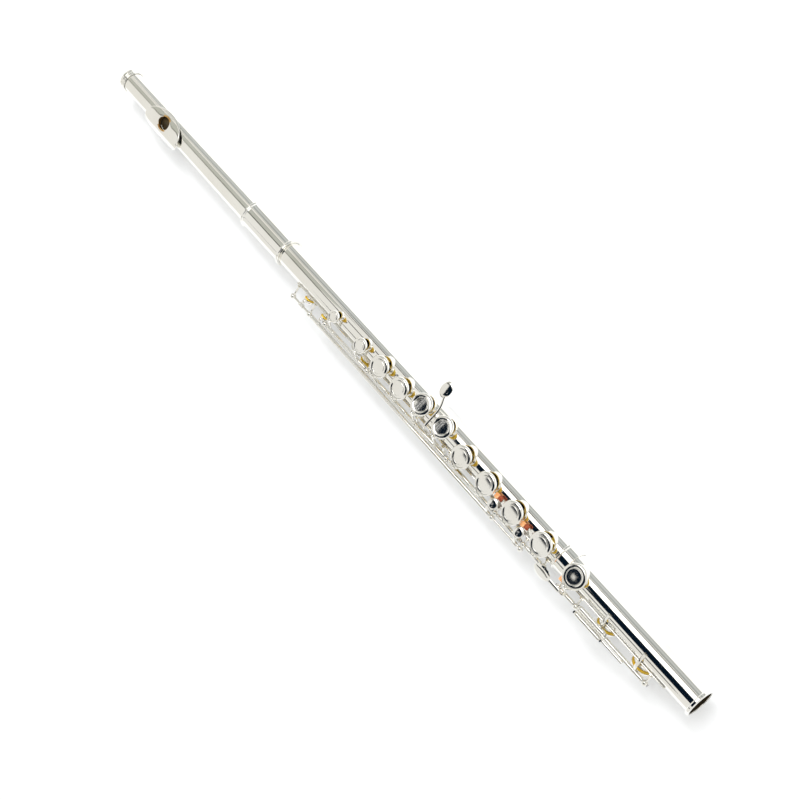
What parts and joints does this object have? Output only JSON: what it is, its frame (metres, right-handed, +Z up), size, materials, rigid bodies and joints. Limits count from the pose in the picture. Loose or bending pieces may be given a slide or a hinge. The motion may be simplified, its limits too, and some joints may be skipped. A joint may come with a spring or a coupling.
{
  "type": "concert flute",
  "caption": "Silver transverse flute: tapered headjoint with lip plate, body with padded key cups on hinge rods and posts, and a foot joint with rollers.",
  "frame": {"origin": "centre of the bounding box, on the plane of its lowest point", "axes": "+X along the tube from the crown to the open end of the foot; +Z up through the key cups; -Y towards the player, the side of the hinge rods"},
  "size_m": [0.673, 0.0516, 0.0365],
  "materials": {
    "silver": "polished silver plate",
    "steel": "drawn steel rod",
    "skin": "yellow bladder skin over felt",
    "cork": "natural cork"
  },
  "bodies": {
    "body": {"barrel": "silver", "body_tube": "silver", "body_rib": "silver", "thumb_rib": "silver", "upper_axle": "steel", "lower_axle": "steel", "thumb_axle": "steel", "g_sharp_axle": "steel"},
    "headjoint": {"head_tube": "silver", "head_end_ring": "silver", "riser": "silver", "lip_plate": "silver"},
    "crown": {"crown": "silver"},
    "stopper": {"stopper_plate": "silver", "stopper_cork": "cork", "stopper_nut": "silver", "stopper_screw": "silver"},
    "footjoint": {"foot_socket": "silver", "foot_tube": "silver", "foot_end_ring": "silver", "foot_rib": "silver", "foot_axle": "steel"},
    "c": {"c_key": "silver", "c_sharp_pad": "skin", "c_pad": "skin"},
    "b_flat": {"b_flat_key": "silver", "b_flat_pad": "skin"},
    "a": {"a_key": "silver", "a_pad": "skin"},
    "g": {"g_key": "silver", "upper_g_pad": "skin", "lower_g_pad": "skin"},
    "f_sharp": {"f_sharp_key": "silver", "f_sharp_pad": "skin"},
    "f": {"f_key": "silver", "f_pad": "skin"},
    "e": {"e_key": "silver", "e_pad": "skin"},
    "d": {"d_key": "silver", "d_pad": "skin"},
    "trill_d": {"trill_d_key": "silver", "trill_d_pad": "skin"},
    "trill_d_sharp": {"trill_d_sharp_key": "silver", "trill_d_sharp_pad": "skin"},
    "thumb": {"thumb_key": "silver", "thumb_b_pad": "skin"},
    "g_sharp": {"g_sharp_key": "silver", "g_sharp_pad": "skin"},
    "e_flat": {"e_flat_key": "silver", "e_flat_pad": "skin"},
    "low_c_sharp": {"low_c_sharp_key": "silver", "low_c_sharp_pad": "skin"},
    "low_c": {"low_c_key": "silver", "low_c_pad": "skin"},
    "low_c_sharp_roller": {"low_c_sharp_roller": "silver"},
    "low_c_roller": {"low_c_roller": "silver"}
  },
  "joints": [
    {"name": "head_slide", "type": "slide", "parent": "body", "child": "headjoint", "axis": [-1, 0, 0], "range_m": [0, 0.038]},
    {"name": "crown_turn", "type": "hinge", "parent": "headjoint", "child": "crown", "pos_m": [-0.33185, -0.00371, 0.0175], "axis": [1, 0, 0], "range_deg": [-180, 180]},
    {"name": "stopper_slide", "type": "slide", "parent": "headjoint", "child": "stopper", "axis": [1, 0, 0], "range_m": [-0.0004, 0.0004]},
    {"name": "foot_slide", "type": "slide", "parent": "body", "child": "footjoint", "axis": [1, 0, 0], "range_m": [0, 0.0095]},
    {"name": "c_hinge", "type": "hinge", "parent": "body", "child": "c", "pos_m": [-0.0207, -0.01871, 0.022], "axis": [1, 0, 0], "range_deg": [-9, 0], "stiffness_Nm_per_rad": 0.012, "springref_deg": 20.05},
    {"name": "b_flat_hinge", "type": "hinge", "parent": "body", "child": "b_flat", "pos_m": [0.01775, -0.01871, 0.022], "axis": [1, 0, 0], "range_deg": [-9, 0], "stiffness_Nm_per_rad": 0.012, "springref_deg": 20.05},
    {"name": "a_hinge", "type": "hinge", "parent": "body", "child": "a", "pos_m": [0.03915, -0.01871, 0.022], "axis": [1, 0, 0], "range_deg": [-9, 0], "stiffness_Nm_per_rad": 0.012, "springref_deg": 20.05},
    {"name": "g_hinge", "type": "hinge", "parent": "body", "child": "g", "pos_m": [0.0724, -0.01871, 0.022], "axis": [1, 0, 0], "range_deg": [-9, 0], "stiffness_Nm_per_rad": 0.012, "springref_deg": 20.05},
    {"name": "f_sharp_hinge", "type": "hinge", "parent": "body", "child": "f_sharp", "pos_m": [0.11092, -0.01871, 0.022], "axis": [1, 0, 0], "range_deg": [-9, 0], "stiffness_Nm_per_rad": 0.012, "springref_deg": 20.05},
    {"name": "f_hinge", "type": "hinge", "parent": "body", "child": "f", "pos_m": [0.13533, -0.01871, 0.022], "axis": [1, 0, 0], "range_deg": [-9, 0], "stiffness_Nm_per_rad": 0.012, "springref_deg": 20.05},
    {"name": "e_hinge", "type": "hinge", "parent": "body", "child": "e", "pos_m": [0.16555, -0.01871, 0.022], "axis": [1, 0, 0], "range_deg": [-9, 0], "stiffness_Nm_per_rad": 0.012, "springref_deg": 20.05},
    {"name": "d_hinge", "type": "hinge", "parent": "body", "child": "d", "pos_m": [0.19075, -0.01871, 0.022], "axis": [1, 0, 0], "range_deg": [-9, 0], "stiffness_Nm_per_rad": 0.012, "springref_deg": 20.05},
    {"name": "trill_d_hinge", "type": "hinge", "parent": "body", "child": "trill_d", "pos_m": [0.04395, -0.02301, 0.0213], "axis": [1, 0, 0], "range_deg": [-7, 0], "stiffness_Nm_per_rad": 0.012, "springref_deg": 20.05},
    {"name": "trill_d_sharp_hinge", "type": "hinge", "parent": "body", "child": "trill_d_sharp", "pos_m": [-0.07295, -0.02301, 0.0213], "axis": [1, 0, 0], "range_deg": [-7, 0], "stiffness_Nm_per_rad": 0.012, "springref_deg": 20.05},
    {"name": "thumb_hinge", "type": "hinge", "parent": "body", "child": "thumb", "pos_m": [-0.00495, -0.00791, 0.0023], "axis": [1, 0, 0], "range_deg": [-10, 0], "stiffness_Nm_per_rad": 0.012, "springref_deg": 20.05},
    {"name": "g_sharp_hinge", "type": "hinge", "parent": "body", "child": "g_sharp", "pos_m": [0.07455, -0.01981, 0.0158], "axis": [1, 0, 0], "range_deg": [-7, 0], "stiffness_Nm_per_rad": 0.012, "springref_deg": 20.05},
    {"name": "e_flat_hinge", "type": "hinge", "parent": "footjoint", "child": "e_flat", "pos_m": [0.22675, -0.02121, 0.0203], "axis": [1, 0, 0], "range_deg": [0, 8], "stiffness_Nm_per_rad": 0.012, "springref_deg": -20.05},
    {"name": "low_c_sharp_hinge", "type": "hinge", "parent": "footjoint", "child": "low_c_sharp", "pos_m": [0.25633, -0.02121, 0.0203], "axis": [1, 0, 0], "range_deg": [0, 9], "stiffness_Nm_per_rad": 0.012, "springref_deg": -20.05},
    {"name": "low_c_hinge", "type": "hinge", "parent": "footjoint", "child": "low_c", "pos_m": [0.28752, -0.02121, 0.0203], "axis": [1, 0, 0], "range_deg": [0, 9], "stiffness_Nm_per_rad": 0.012, "springref_deg": -20.05},
    {"name": "low_c_sharp_roller_spin", "type": "hinge", "parent": "low_c_sharp", "child": "low_c_sharp_roller", "pos_m": [0.25155, -0.01705, 0.02673], "axis": [1, 0, 0], "continuous": true},
    {"name": "low_c_roller_spin", "type": "hinge", "parent": "low_c", "child": "low_c_roller", "pos_m": [0.25155, -0.02244, 0.02596], "axis": [1, 0, 0], "continuous": true}
  ],
  "couplings": [
    {"joint": "b_flat_hinge", "follows": "a_hinge", "ratio": 1},
    {"joint": "f_sharp_hinge", "follows": "f_hinge", "ratio": 1},
    {"joint": "stopper_slide", "follows": "crown_turn", "m_per_rad": 0.00012732}
  ]
}
